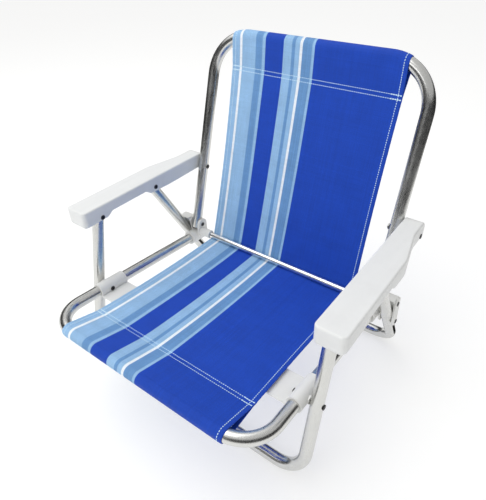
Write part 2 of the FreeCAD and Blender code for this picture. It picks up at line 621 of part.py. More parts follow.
def arm(label, side):
    """A moulded arm, open below; its channel takes the tops of both legs."""
    body = new_body(label, ARM_FRONT_PIN, ARM_PITCH)
    inner = ARM_INSIDE
    outer = ARM_INSIDE + ARM_WIDTH
    rear_outer = ARM_INSIDE + ARM_REAR_WIDTH
    end = ARM_SPAN + ARM_REAR
    nose = ARM_NOSE - ARM_FRONT
    shell = across_plate(body, side, inner, outer, [
        (-ARM_FRONT, -ARM_NOSE_DROP, ARM_SKIRT),
        (-ARM_FRONT, ARM_TOP, 0),
        (end, ARM_TOP, ARM_REAR_ROUND),
        (end, -ARM_SKIRT, ARM_SKIRT),
        (MIDDLE_PIN_BACK + ARM_RIB_HALF * 3, -(ARM_SKIRT + ARM_WAIST), ARM_BELLY_ROUND),
        (MIDDLE_PIN_BACK - ARM_RIB_HALF, -ARM_SKIRT, ARM_SKIRT),
        (MIDDLE_PIN_BACK - ARM_RIB_HALF * 2, ARM_WAIST, ARM_SKIRT),
        (ARM_RIB_HALF * 2, ARM_WAIST, ARM_SKIRT),
        (ARM_RIB_HALF, -ARM_SKIRT, ARM_SKIRT),
        (nose, -ARM_SKIRT, 0),
        (nose - ARM_WAIST, -ARM_NOSE_DROP, 0),
    ])
    taper_start = ARM_SPAN - ARM_TAPER_LEAD
    cut_start = taper_start - ARM_TAPER
    sketch = new_sketch(body, "XY_Plane", ARM_TOP * 2)
    add_outline(sketch, [
        (outer * side, taper_start, ARM_TAPER_ROUND),
        (rear_outer * side, taper_start + ARM_TAPER, ARM_TAPER_ROUND),
        (rear_outer * side, end + ARM_REAR, 0),
        ((outer + ARM_REAR) * side, end + ARM_REAR, 0),
        ((outer + ARM_REAR) * side, cut_start, 0),
        (outer * side, cut_start, 0),
    ])
    taper = pocket(body, sketch, ARM_TOP * 4)

    def nose_edge(edge):
        ends = [vertex.Point for vertex in edge.Vertexes]
        upright = len(ends) == 2 and abs(ends[0].z - ends[1].z) > ARM_TOP / 2
        return upright and all(abs(point.y + ARM_FRONT) < 0.01 for point in ends)

    def top_edge(edge):
        box = edge.BoundBox
        seam = box.YLength < 0.01 and box.YMin > 0
        return box.ZMin > ARM_TOP - 0.01 and not seam

    fillet(body, fillet(body, taper, nose_edge, ARM_CORNER), top_edge, ARM_EDGE_ROUND)

    ceiling = ARM_TOP - ARM_TOP_WALL
    for hollow_end, hollow_outer, rear_round in (
            (MIDDLE_PIN_BACK + ARM_RIB_HALF + ARM_WALL, outer - ARM_WALL, 0),
            (end - ARM_WALL, rear_outer - ARM_WALL, ARM_REAR_ROUND - ARM_WALL)):
        sketch = new_sketch(body, "YZ_Plane", (inner + ARM_WALL) * side)
        add_outline(sketch, [
            (ARM_FRONT_WALL - ARM_FRONT, -ARM_TOP, 0),
            (ARM_FRONT_WALL - ARM_FRONT, ceiling, 0),
            (hollow_end, ceiling, rear_round),
            (hollow_end, -ARM_TOP, 0),
        ])
        pocket(body, sketch, hollow_outer - inner - ARM_WALL, reverse=side > 0)

    rib = LEG_OUTSIDE + SIDE_GAP
    beyond = rib + ARM_WALL * 2
    for along, rise in ((0, 0), (MIDDLE_PIN_BACK, MIDDLE_PIN_RISE)):
        across_plate(body, side, rib, rib + ARM_WALL, [
            (-ARM_RIB_HALF + along, -ARM_SKIRT + rise, 0),
            (ARM_RIB_HALF + along, -ARM_SKIRT + rise, 0),
            (ARM_RIB_HALF + along, ceiling + MERGE, 0),
            (-ARM_RIB_HALF + along, ceiling + MERGE, 0),
        ])
    across_disc(body, side, inner - MERGE, beyond, 0, 0, RIVET_HOLE, cut=True)
    across_disc(body, side, inner - MERGE, beyond, MIDDLE_PIN_BACK, MIDDLE_PIN_RISE, RIVET_HOLE, cut=True)
    across_disc(body, side, inner - MERGE, outer + MERGE, ARM_SPAN, 0, RIVET_HOLE, cut=True)


# ---------------------------------------------------------------- sling

def across_strip(body, start, end):
    """A strip of cloth across the sling between two (along, rise) points, a skin thick in rise."""
    half_skin = SLING_SKIN / 2
    sketch = new_sketch(body, "YZ_Plane")
    add_outline(sketch, [
        (start[0], start[1] - half_skin, 0),
        (end[0], end[1] - half_skin, 0),
        (end[0], end[1] + half_skin, 0),
        (start[0], start[1] + half_skin, 0),
    ])
    pad(body, sketch, SLING_WIDTH, both_ways=True)


def bar_pocket(body, ends, bar, bend, seam):
    """The sling's pocket: two layers from the seam, and a loop around the frame's cross bar and bends."""
    corners = [
        (-FRAME_HALF, ends, 0),
        (-FRAME_HALF, bar, bend),
        (FRAME_HALF, bar, bend),
        (FRAME_HALF, ends, 0),
    ]
    inside = TUBE_RADIUS + SLING_GAP
    middle = inside + SLING_SKIN / 2
    for rise in (-middle, middle):
        across_strip(body, min((bar, rise), seam), max((bar, rise), seam))
    pipe(body, corners, ends, "Additive", [inside + SLING_SKIN])
    pipe(body, corners, ends, "Subtractive", [inside])
    low = min(ends, bar) - bend
    high = max(ends, bar) + bend
    for side in (-1, 1):
        sketch = new_sketch(body, "YZ_Plane", SLING_WIDTH / 2 * side)
        add_outline(sketch, [(low, -bend, 0), (high, -bend, 0), (high, bend, 0), (low, bend, 0)])
        pocket(body, sketch, SLING_WIDTH, reverse=side > 0)


def seat_sling():
    """The sheet from the front bar to the crease below the cross bar, with the front bar's pocket."""
    body = new_body("seat_sling", (0, SEAT_BAR_HEIGHT), -SEAT_SLOPE)
    seam = (POCKET_SEAM, Size(0, "0"))
    across_strip(body, seam, (CROSSBAR_ALONG, CROSSBAR_RISE - CROSSBAR_DIA / 2 - SLING_SKIN))
    bar_pocket(body, SEAT_BEND + POCKET_TRIM, Size(0, "0"), SEAT_BEND, seam)


def back_sling():
    """The sheet from the crease up to the back's top bar, with the top bar's pocket."""
    body = new_body("back_sling", BACK_PIVOT, BACK_ANGLE)
    seam = (BACK_LENGTH - POCKET_SEAM, Size(0, "0"))
    across_strip(body, (-CREASE_DOWN, -CREASE_BACK), seam)
    bar_pocket(body, BACK_LENGTH - BACK_BEND - POCKET_TRIM, BACK_LENGTH, BACK_BEND, seam)


# ---------------------------------------------------------------- fasteners

def fasteners():
    cradle_face = LEG_OUTSIDE + CRADLE_WALL
    sleeve_inside = FRAME_HALF - TUBE_RADIUS - SLEEVE_WALL
    rivet("front_leg_rivets", FRONT_PIVOT, sleeve_inside, LEG_OUTSIDE, RIVET_RADIUS)
    rivet("back_pivot_rivets", BACK_PIVOT, BACK_INSIDE - EAR_INNER, cradle_face, RIVET_RADIUS)
    rivet("leg_guide_pins", GUIDE_PIN, BACK_OUTSIDE, cradle_face, GUIDE_PIN_RADIUS)
    rivet("arm_rear_rivets", ARM_REAR_PIN, FRAME_HALF - TUBE_RADIUS - WASHER,
          ARM_INSIDE + ARM_REAR_WIDTH, RIVET_RADIUS)
    rib_outside = LEG_OUTSIDE + SIDE_GAP + ARM_WALL
    for name, side in (("left", 1), ("right", -1)):
        for place, pin in (("front", ARM_FRONT_PIN), ("middle", ARM_MIDDLE_PIN)):
            rivet(f"arm_{name}_{place}_pin", pin, ARM_INSIDE, rib_outside, RIVET_RADIUS, side)


def arm_washers():
    body = new_body("arm_rear_washers", ARM_REAR_PIN, 0)
    body.AllowCompound = True
    sketch = new_sketch(body, "YZ_Plane", FRAME_HALF - TUBE_RADIUS - WASHER)
    add_circle(sketch, 0, 0, WASHER_RADIUS)
    add_circle(sketch, 0, 0, RIVET_HOLE)
    mirror_across(body, pad(body, sketch, WASHER))


# ---------------------------------------------------------------- build, check and write

seat_frame()
back_frame()
front_leg()
rear_leg()
rear_joint("rear_joint_left", 1)
rear_joint("rear_joint_right", -1)
rear_crossbar()
front_bridge()
arm("arm_left", 1)
arm("arm_right", -1)
seat_sling()
back_sling()
fasteners()
arm_washers()
doc.recompute()

bodies = [item for item in doc.Objects if item.TypeId == "PartDesign::Body"]
for item in doc.Objects:
    if "Invalid" in item.State or "Error" in item.State:
        raise RuntimeError(f"{item.Name} is {item.State}")
for body in bodies:
    if body.Shape.isNull() or not body.Shape.isValid() or not body.Shape.Solids:
        raise RuntimeError(f"{body.Label} has no valid solid")

os.makedirs("parts", exist_ok=True)
for body in bodies:
    body.Shape.exportStep(f"parts/{body.Label}.step")
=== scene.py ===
"""Looks for the folding sling chair: cloth, stitching, finishes and a small studio.

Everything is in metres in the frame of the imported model: +X to the sitter's left, +Y from the
seat's front bar to the back, +Z up.
"""
import math

import bpy
import numpy as np
from mathutils import Matrix, Vector


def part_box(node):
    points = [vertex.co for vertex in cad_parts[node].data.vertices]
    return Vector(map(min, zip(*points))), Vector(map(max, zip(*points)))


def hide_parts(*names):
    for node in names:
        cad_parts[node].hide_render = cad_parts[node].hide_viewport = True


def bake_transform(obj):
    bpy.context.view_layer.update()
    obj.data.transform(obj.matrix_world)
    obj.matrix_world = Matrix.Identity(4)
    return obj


bl_info = {
    "name": "Folding sling chair looks",
    "version": (1, 0, 0),
    "blender": (4, 5, 0),
    "location": "View3D > Sidebar > Sling Chair",
    "description": "Cloth sling, stitching, metal and moulded finishes for the folding chair",
    "category": "Object",
}

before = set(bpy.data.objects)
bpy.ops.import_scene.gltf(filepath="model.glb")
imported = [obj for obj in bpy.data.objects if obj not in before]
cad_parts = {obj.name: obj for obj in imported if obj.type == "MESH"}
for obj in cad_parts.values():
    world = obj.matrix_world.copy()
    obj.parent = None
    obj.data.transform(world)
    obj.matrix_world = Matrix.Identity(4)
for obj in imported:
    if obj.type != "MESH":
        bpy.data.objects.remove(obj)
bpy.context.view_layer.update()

TUBE_NODES = ("seat_frame_tube", "back_frame_tube", "front_leg_tube", "rear_leg_tube")
ARM_NODES = ("arm_left", "arm_right")
JOINT_NODES = ("rear_joint_left", "rear_joint_right", "front_bridge")
RIVET_NODES = (
    "arm_left_front_pin", "arm_left_middle_pin", "arm_right_front_pin", "arm_right_middle_pin",
    "arm_rear_rivets", "back_pivot_rivets", "front_leg_rivets", "leg_guide_pins",
)
WASHER_NODES = ("arm_rear_washers",)

TUBE_RADIUS = 0.011
SEAT_SLOPE = math.radians(4.2)
# Where a bar's bend starts across the chair, and its radius.
SEAT_BEND = (0.164, 0.060)
BACK_BEND = (0.144, 0.080)

# Rows of the cloth's grid, from the back's tail end to the seat's tail end.
TAIL_ROWS = 5
LAYER_ROWS = 22
LOOP_ROWS = 26
HANG_ROWS = 72
CREASE_ROWS = 12
POCKET_ROWS = TAIL_ROWS + 2 * LAYER_ROWS + LOOP_ROWS
INNER_COLUMNS = 61

# The cloth, beyond what its settings say.
CLOTH_GAP = 0.0003          # left between the cloth and a bar
LAYER_SPREAD = 1.15         # from one layer's middle to the next, in thicknesses
EDGE_SAG = 0.35             # share of the sag that the edges lose
HEM_STEP = 0.0016           # over which a hem thins to the single cloth
HEM_GROOVE = (0.0066, 0.0012, 0.00018)      # in from the edge, half width and depth
EDGE_RADIUS = 0.0010
HEM_ROW = 0.0078            # the hem's stitches, in from the edge
SEAM_END = 0.0012           # a seam's first stitch, in from the edge
TACK_ASIDE = 0.0004         # how far the back-tack's stitches lie beside the seam
TACK_SHIFT = 0.45           # how far they are moved along it, in pitches
HEM_ROW_END = 0.004         # the hem's first stitch, from the cloth's end

CAMERA_TURN, CAMERA_TILT, CAMERA_ROLL = (math.radians(angle) for angle in (36.936, 34.629, -0.798))
CAMERA_TARGET = (0.03693, -0.01326, 0.30526)
CAMERA_DISTANCE = 0.81177
CAMERA_LENS, CAMERA_SENSOR = 34.317, 36.0
CAMERA_SHIFT = (-0.00545, -0.01366)

FLOOR_SIZE, FLOOR_GAP = 60, 0.0003
CURTAIN_RADIUS, CURTAIN_HEIGHT, CURTAIN_MIDDLE, CURTAIN_LEAN = 1.5, 1.08, 0.53, -0.10

# Brightness of the surroundings from straight below (0) over the horizon (0.5) to straight above.
SKY_SHADES = ((0.0, 0.8), (0.47, 0.62), (0.56, 0.62), (0.68, 0.90), (1.0, 1.10))


def srgb(red, green, blue):
    """A linear colour from three 8-bit screen values."""
    shares = [value / 255 for value in (red, green, blue)]
    return tuple(
        share / 12.92 if share <= 0.04045 else ((share + 0.055) / 1.055) ** 2.4 for share in shares)


def middle_of(node_name):
    low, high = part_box(node_name)
    return (low + high) / 2


# ---------------------------------------------------------------- settings shown in the sidebar

class SlingSettings(bpy.types.PropertyGroup):
    """Sizes and colours of the cloth sling."""

    width: bpy.props.FloatProperty(
        name="Width", description="Hemmed width of the cloth", default=0.3556, unit="LENGTH")
    thickness: bpy.props.FloatProperty(
        name="Thickness", description="Thickness of the single cloth", default=0.0007, unit="LENGTH")
    hem: bpy.props.FloatProperty(
        name="Hem", description="Width of the folded side hems", default=0.009, unit="LENGTH")
    seat_pocket: bpy.props.FloatProperty(
        name="Seat pocket", default=0.0665, unit="LENGTH",
        description="From the front bar to the far row of the seam that closes its pocket")
    back_pocket: bpy.props.FloatProperty(
        name="Back pocket", default=0.0595, unit="LENGTH",
        description="From the top bar to the far row of the seam that closes its pocket")
    tail: bpy.props.FloatProperty(
        name="Tail", description="Cloth left past the seam inside the pocket", default=0.009, unit="LENGTH")
    seat_sag: bpy.props.FloatProperty(
        name="Seat sag", description="How far the empty seat hangs below a straight line",
        default=0.0045, unit="LENGTH")
    back_sag: bpy.props.FloatProperty(
        name="Back sag", description="How far the empty back bellies rearward", default=0.004, unit="LENGTH")
    waist: bpy.props.FloatProperty(
        name="Waist", description="How far each side draws in between the bars",
        default=0.0022, unit="LENGTH")
    thread_pitch: bpy.props.FloatProperty(
        name="Thread pitch", description="From one thread of the weave to the next",
        default=0.0010, precision=5, unit="LENGTH")
    cobalt: bpy.props.FloatVectorProperty(
        name="Cobalt", description="Main colour of the cloth", subtype="COLOR", default=srgb(22, 70, 182))
    light_blue: bpy.props.FloatVectorProperty(
        name="Light blue", description="Wide light stripes", subtype="COLOR", default=srgb(150, 190, 228))
    steel_blue: bpy.props.FloatVectorProperty(
        name="Steel blue", description="Mid-tone stripes", subtype="COLOR", default=srgb(106, 152, 203))
    white: bpy.props.FloatVectorProperty(
        name="White", description="Narrow pale lines", subtype="COLOR", default=srgb(238, 244, 250))


class StitchSettings(bpy.types.PropertyGroup):
    """Sizes and colour of the sewing thread."""

    length: bpy.props.FloatProperty(
        name="Stitch length", description="Visible length of one stitch", default=0.0039, unit="LENGTH")
    pitch: bpy.props.FloatProperty(
        name="Stitch pitch", description="From one stitch to the next", default=0.0041, unit="LENGTH")
    thread: bpy.props.FloatProperty(
        name="Thread", description="Thickness of the thread", default=0.0015, unit="LENGTH")
    row_gap: bpy.props.FloatProperty(
        name="Row gap", description="Between the two rows of a pocket seam", default=0.0075, unit="LENGTH")
    back_tack: bpy.props.FloatProperty(
        name="Back-tack", description="Length sewn over twice at both ends of a seam",
        default=0.022, unit="LENGTH")
    colour: bpy.props.FloatVectorProperty(
        name="Thread colour", description="Colour of the sewing thread", subtype="COLOR",
        default=srgb(212, 240, 255))


class FinishSettings(bpy.types.PropertyGroup):
    """Colours of the metal and of the mouldings."""

    aluminium: bpy.props.FloatVectorProperty(
        name="Aluminium", description="Colour of the drawn tubes", subtype="COLOR",
        default=srgb(214, 214, 211))
    arm_white: bpy.props.FloatVectorProperty(
        name="Arm white", description="Colour of the moulded arms", subtype="COLOR",
        default=srgb(229, 230, 229))
    joint_white: bpy.props.FloatVectorProperty(
        name="Joint white", description="Colour of the joints and the bridge", subtype="COLOR",
        default=srgb(228, 228, 225))
    rod: bpy.props.FloatVectorProperty(
        name="Rod", description="Colour of the bright rear cross bar", subtype="COLOR",
        default=srgb(240, 240, 240))
    rivet_dark: bpy.props.FloatVectorProperty(
        name="Rivet", description="Colour of the blackened rivets", subtype="COLOR", default=srgb(62, 62, 64))


class StudioSettings(bpy.types.PropertyGroup):
    """Light and floor of the studio."""

    floor: bpy.props.FloatVectorProperty(
        name="Floor", description="Colour of the floor", subtype="COLOR", default=(0.575, 0.575, 0.565))
    floor_glow: bpy.props.FloatProperty(
        name="Floor glow", description="Light that the floor gives off, which keeps its shadows pale",
        default=0.50)
    curtain: bpy.props.FloatVectorProperty(
        name="Curtain", description="Colour of the dark curtain that only the gloss shows", subtype="COLOR",
        default=(0.03, 0.03, 0.031))
    key_power: bpy.props.FloatProperty(
        name="Key power", description="Power of the large overhead light in watts", default=24.0)
    front_power: bpy.props.FloatProperty(
        name="Front power", description="Power of the soft light in front in watts", default=13.0)
    sky: bpy.props.FloatProperty(
        name="Sky", description="Brightness of the surroundings", default=0.85)


# ---------------------------------------------------------------- node helpers

def add_node(tree, kind, inputs=None, **settings):
    """A node with its settings made and its inputs given values or linked."""
    made = tree.nodes.new(kind)
    for name, value in settings.items():
        setattr(made, name, value)
    for key, value in (inputs or {}).items():
        socket = made.inputs[key]
        if isinstance(value, bpy.types.NodeSocket):
            tree.links.new(value, socket)
        else:
            socket.default_value = value
    return made


def arith(tree, operation, first, second=0.0):
    return add_node(tree, "ShaderNodeMath", {0: first, 1: second}, operation=operation).outputs[0]


def remap(tree, value, low, high, to_low=0.0, to_high=1.0, smooth=False):
    inputs = {"Value": value, "From Min": low, "From Max": high, "To Min": to_low, "To Max": to_high}
    kind = "SMOOTHSTEP" if smooth else "LINEAR"
    return add_node(tree, "ShaderNodeMapRange", inputs, interpolation_type=kind).outputs["Result"]


def swing(tree, value, low, high):
    """A noise carried from its usual spread to a range of its own."""
    return remap(tree, value, 0.3, 0.7, low, high)


def stretched(tree, vector, scale):
    return add_node(tree, "ShaderNodeMapping", {"Vector": vector, "Scale": scale}).outputs[0]


def object_place(tree):
    return add_node(tree, "ShaderNodeTexCoord").outputs["Object"]


def noise(tree, vector, scale, detail=2.0, roughness=0.5):
    """Noise of this many features a metre, where the vector is in metres."""
    inputs = {"Vector": vector, "Scale": scale, "Detail": detail, "Roughness": roughness}
    return add_node(tree, "ShaderNodeTexNoise", inputs).outputs["Fac"]


def new_group(name, inputs, outputs):
    """An empty shader group with float or vector sockets; gives the tree and its two end nodes."""
    tree = bpy.data.node_groups.new(name, "ShaderNodeTree")
    for label, kind, default in inputs:
        socket = tree.interface.new_socket(label, in_out="INPUT", socket_type=f"NodeSocket{kind}")
        if default is not None:
            socket.default_value = default
    for label, kind in outputs:
        tree.interface.new_socket(label, in_out="OUTPUT", socket_type=f"NodeSocket{kind}")
    return tree, add_node(tree, "NodeGroupInput"), add_node(tree, "NodeGroupOutput")


def place_group(tree, group_name, inputs):
    """A shared group with its inputs given; gives its outputs."""
    group = bpy.data.node_groups[group_name]
    return add_node(tree, "ShaderNodeGroup", inputs, node_tree=group).outputs


def new_material(name, constants):
    """A material with one Principled shader; gives the material, its tree and the shader."""
    material = bpy.data.materials.new(name)
    material.use_nodes = True
    tree = material.node_tree
    shader = tree.nodes["Principled BSDF"]
    for key, value in constants.items():
        shader.inputs[key].default_value = value
    return material, tree, shader


def bump_into(tree, shader, height, distance):
    bump = add_node(tree, "ShaderNodeBump", {"Height": height, "Distance": distance, "Strength": 1.0})
    tree.links.new(bump.outputs["Normal"], shader.inputs["Normal"])


def tinted(tree, colour, shade):
    """A colour times a shade that changes over the surface."""
    mix = add_node(tree, "ShaderNodeMix", {0: 1.0}, data_type="RGBA", blend_type="MULTIPLY")
    for key, value in ((6, colour), (7, shade)):
        if isinstance(value, bpy.types.NodeSocket):
            tree.links.new(value, mix.inputs[key])
        else:
            mix.inputs[key].default_value = (*value, 1.0)
    return mix.outputs[2]


# ---------------------------------------------------------------- shared effects

def make_streaks_group():
    """Fine drawing lines of a tube: along Y on the sides and along X on the cross bars, and scuffs."""
    tree, ends_in, ends_out = new_group(
        "Drawn tube lines",
        [("Vector", "Vector", None), ("Side Starts", "Float", 0.2), ("Fineness", "Float", 1.0)],
        [("Lines", "Float"), ("Scuffs", "Float"), ("Cloudiness", "Float")],
    )
    vector = ends_in.outputs["Vector"]
    fine = ends_in.outputs["Fineness"]
    side_starts = ends_in.outputs["Side Starts"]
    across = add_node(tree, "ShaderNodeSeparateXYZ", {0: vector}).outputs[0]
    aside = arith(tree, "ABSOLUTE", across)
    side = remap(tree, aside, arith(tree, "SUBTRACT", side_starts, 0.03), side_starts, smooth=True)
    along, close = 14.0, 1600.0
    lines = []
    for stretch in ((along, close, close), (close, along, close)):
        lines.append(noise(tree, stretched(tree, vector, stretch), fine, detail=3.0, roughness=0.6))
    mixed = add_node(tree, "ShaderNodeMix", {0: side, 2: lines[0], 3: lines[1]}, data_type="FLOAT").outputs[0]
    turned = add_node(tree, "ShaderNodeMapping", {
        "Vector": vector, "Rotation": (0.3, 0.5, 0.8), "Scale": (420.0, 60.0, 420.0)}).outputs[0]
    scratch = noise(tree, turned, 1.0, detail=4.0, roughness=0.7)
    tree.links.new(mixed, ends_out.inputs["Lines"])
    tree.links.new(remap(tree, scratch, 0.62, 0.72), ends_out.inputs["Scuffs"])
    clouds = noise(tree, vector, 16.0, detail=3.0, roughness=0.55)
    tree.links.new(clouds, ends_out.inputs["Cloudiness"])


def make_grain_group():
    """The fine texture of moulded plastic, with faint flow marks and dust."""
    tree, ends_in, ends_out = new_group(
        "Moulded grain",
        [("Vector", "Vector", None), ("Grain Size", "Float", 0.0006)],
        [("Grain", "Float"), ("Flow", "Float"), ("Dust", "Float")],
    )
    vector = ends_in.outputs["Vector"]
    per_metre = arith(tree, "DIVIDE", 1.0, ends_in.outputs["Grain Size"])
    grain = noise(tree, vector, per_metre, detail=3.0, roughness=0.55)
    flow = noise(tree, stretched(tree, vector, (60.0, 9.0, 60.0)), 1.0)
    dust = remap(tree, noise(tree, vector, 24.0, detail=5.0, roughness=0.65), 0.52, 0.75)
    tree.links.new(grain, ends_out.inputs["Grain"])
    tree.links.new(flow, ends_out.inputs["Flow"])
    tree.links.new(dust, ends_out.inputs["Dust"])


def make_weave_group():
    """A plain weave from two thread counts: height, and how much each thread's shade differs."""
    tree, ends_in, ends_out = new_group(
        "Plain weave",
        [("Across", "Float", 0.0), ("Along", "Float", 0.0)],
        [("Height", "Float"), ("Thread Shade", "Float")],
    )
    across, along = ends_in.outputs["Across"], ends_in.outputs["Along"]
    under = 0.55
    warp = arith(tree, "ABSOLUTE", arith(tree, "SINE", arith(tree, "MULTIPLY", across, math.pi)))
    weft = arith(tree, "ABSOLUTE", arith(tree, "SINE", arith(tree, "MULTIPLY", along, math.pi)))
    steps = arith(tree, "ADD", arith(tree, "FLOOR", across), arith(tree, "FLOOR", along))
    over = arith(tree, "PINGPONG", steps, 1.0)
    warp_up = arith(tree, "MULTIPLY", warp, remap(tree, over, 0.0, 1.0, under, 1.0))
    weft_up = arith(tree, "MULTIPLY", weft, remap(tree, over, 0.0, 1.0, 1.0, under))
    height = arith(tree, "MAXIMUM", warp_up, weft_up)
    warp_place, weft_place = (
        add_node(tree, "ShaderNodeCombineXYZ", {0: arith(tree, "FLOOR", count), 1: strip}).outputs[0]
        for count, strip in ((across, 0.5), (along, 7.5)))
    warp_tint, weft_tint = (noise(tree, place, 0.83, detail=1.0) for place in (warp_place, weft_place))
    shade = arith(tree, "MULTIPLY", arith(tree, "ADD", warp_tint, weft_tint), 0.5)
    tree.links.new(height, ends_out.inputs["Height"])
    tree.links.new(shade, ends_out.inputs["Thread Shade"])


# ---------------------------------------------------------------- materials

def tube_material(name, colour, side_starts, slope):
    """Drawn aluminium; slope turns the side lines to run along a leaning frame."""
    material, tree, shader = new_material(name, {"Metallic": 1.0, "Specular IOR Level": 0.5})
    where = object_place(tree)
    laid = add_node(tree, "ShaderNodeMapping", {"Vector": where, "Rotation": (-slope, 0.0, 0.0)}).outputs[0]
    marks = place_group(tree, "Drawn tube lines", {
        "Vector": laid, "Side Starts": side_starts, "Fineness": 1.0})
    shade = arith(tree, "ADD", swing(tree, marks["Lines"], 0.93, 1.03),
                  remap(tree, marks["Cloudiness"], 0.35, 0.7, -0.03, 0.02))
    shade = arith(tree, "SUBTRACT", shade, arith(tree, "MULTIPLY", marks["Scuffs"], 0.05))
    tree.links.new(tinted(tree, colour, shade), shader.inputs["Base Color"])
    rough = arith(tree, "ADD", swing(tree, marks["Lines"], 0.19, 0.30),
                  arith(tree, "MULTIPLY", marks["Scuffs"], 0.14))
    rough = arith(tree, "ADD", rough, remap(tree, marks["Cloudiness"], 0.35, 0.7, -0.03, 0.05))
    tree.links.new(rough, shader.inputs["Roughness"])
    height = arith(tree, "SUBTRACT", marks["Lines"], arith(tree, "MULTIPLY", marks["Scuffs"], 0.6))
    bump_into(tree, shader, height, distance=0.00002)
    return material


def moulding_material(name, colour, roughness, grain_size):
    """Satin moulded plastic with a fine spark-eroded grain."""
    material, tree, shader = new_material(name, {"Metallic": 0.0, "IOR": 1.49, "Specular IOR Level": 0.45})
    where = object_place(tree)
    grain = place_group(tree, "Moulded grain", {"Vector": where, "Grain Size": grain_size})
    shade = arith(tree, "SUBTRACT", swing(tree, grain["Flow"], 0.975, 1.01),
                  arith(tree, "MULTIPLY", grain["Dust"], 0.03))
    tree.links.new(tinted(tree, colour, shade), shader.inputs["Base Color"])
    rough = arith(tree, "ADD", swing(tree, grain["Grain"], roughness - 0.05, roughness + 0.05),
                  arith(tree, "MULTIPLY", grain["Dust"], 0.08))
    tree.links.new(rough, shader.inputs["Roughness"])
    height = arith(tree, "ADD", grain["Grain"], arith(tree, "MULTIPLY", grain["Flow"], 0.4))
    bump_into(tree, shader, height, distance=0.00014)
    return material


def rivet_material(name, colour, metallic, roughness):
    """Blackened or bright steel, turned and lightly rubbed."""
    material, tree, shader = new_material(name, {"Metallic": metallic})
    where = object_place(tree)
    grain = place_group(tree, "Moulded grain", {"Vector": where, "Grain Size": 0.0004})
    rub = remap(tree, noise(tree, where, 900.0, detail=4.0, roughness=0.6), 0.45, 0.7, 0.9, 1.6)
    tree.links.new(tinted(tree, colour, rub), shader.inputs["Base Color"])
    rough = swing(tree, grain["Grain"], roughness - 0.07, roughness + 0.09)
    tree.links.new(rough, shader.inputs["Roughness"])
    bump_into(tree, shader, grain["Grain"], distance=0.00003)
    return material


def cloth_material(sling, length):
    """The striped cloth: the stripes run along it, and the weave follows its own map."""
    material, tree, shader = new_material("Striped sling cloth", {
        "Sheen Weight": 0.04, "Sheen Roughness": 0.4, "Specular IOR Level": 0.24})
    chart = add_node(tree, "ShaderNodeUVMap", uv_map="Cloth").outputs[0]
    parts = add_node(tree, "ShaderNodeSeparateXYZ", {0: chart})
    across, along = parts.outputs[0], parts.outputs[1]
    light, steel, white, cobalt = sling.light_blue, sling.steel_blue, sling.white, sling.cobalt
    stripes = [
        (0.000, light), (0.050, white), (0.064, light), (0.154, steel), (0.197, light), (0.216, cobalt),
        (0.331, light), (0.379, steel), (0.402, light), (0.427, white), (0.445, steel), (0.499, light),
        (0.513, cobalt),
    ]
    ramp = add_node(tree, "ShaderNodeValToRGB", {0: across})
    ramp.color_ramp.interpolation = "CONSTANT"
    stops = ramp.color_ramp.elements
    while len(stops) < len(stripes):
        stops.new(1.0)
    for stop, (place, colour) in zip(stops, stripes):
        stop.position = place
        stop.color = (*colour, 1.0)
    weave = place_group(tree, "Plain weave", {
        "Across": arith(tree, "MULTIPLY", across, sling.width / sling.thread_pitch),
        "Along": arith(tree, "MULTIPLY", along, length / sling.thread_pitch),
    })
    streak = noise(tree, stretched(tree, chart, (170.0, 9.0, 1.0)), 1.0, detail=3.0, roughness=0.6)
    cloud = noise(tree, stretched(tree, chart, (9.0, 27.0, 1.0)), 1.0, detail=6.0, roughness=0.62)
    # The base colour follows the weave's height: painted shade in the hollows between the threads and lighter
    # crowns on top, times each thread's own tint.
    shade = arith(tree, "MULTIPLY", remap(tree, weave["Height"], 0.25, 1.0, 0.70, 1.22),
                  swing(tree, weave["Thread Shade"], 0.90, 1.10))
    shade = arith(tree, "MULTIPLY", shade, swing(tree, streak, 0.95, 1.05))
    shade = arith(tree, "MULTIPLY", shade, swing(tree, cloud, 0.93, 1.07))
    tree.links.new(tinted(tree, ramp.outputs[0], shade), shader.inputs["Base Color"])
    rough = arith(tree, "ADD", remap(tree, weave["Height"], 0.2, 1.0, 0.78, 0.56),
                  swing(tree, streak, -0.03, 0.03))
    tree.links.new(rough, shader.inputs["Roughness"])
    height = arith(tree, "ADD", weave["Height"], arith(tree, "MULTIPLY", weave["Thread Shade"], 0.5))
    bump_into(tree, shader, height, distance=0.00022)
    return material


def thread_material(colour):
    """Twisted sewing thread."""
    material, tree, shader = new_material("Sewing thread", {"Sheen Weight": 0.2, "Specular IOR Level": 0.3})
    where = object_place(tree)
    fuzz = noise(tree, where, 2600.0, detail=3.0, roughness=0.6)
    tree.links.new(tinted(tree, colour, swing(tree, fuzz, 0.88, 1.04)), shader.inputs["Base Color"])
    tree.links.new(swing(tree, fuzz, 0.55, 0.75), shader.inputs["Roughness"])
    bump_into(tree, shader, fuzz, distance=0.00006)
    return material


def give_finish(node_names, material):
    for node_name in node_names:
        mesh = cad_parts[node_name].data
        mesh.materials.clear()
        mesh.materials.append(material)


# ---------------------------------------------------------------- the sling's shape

def arch(share):
    """Rises from 0 to 1 half way and falls to 0 again."""
    return 4 * share * (1 - share)


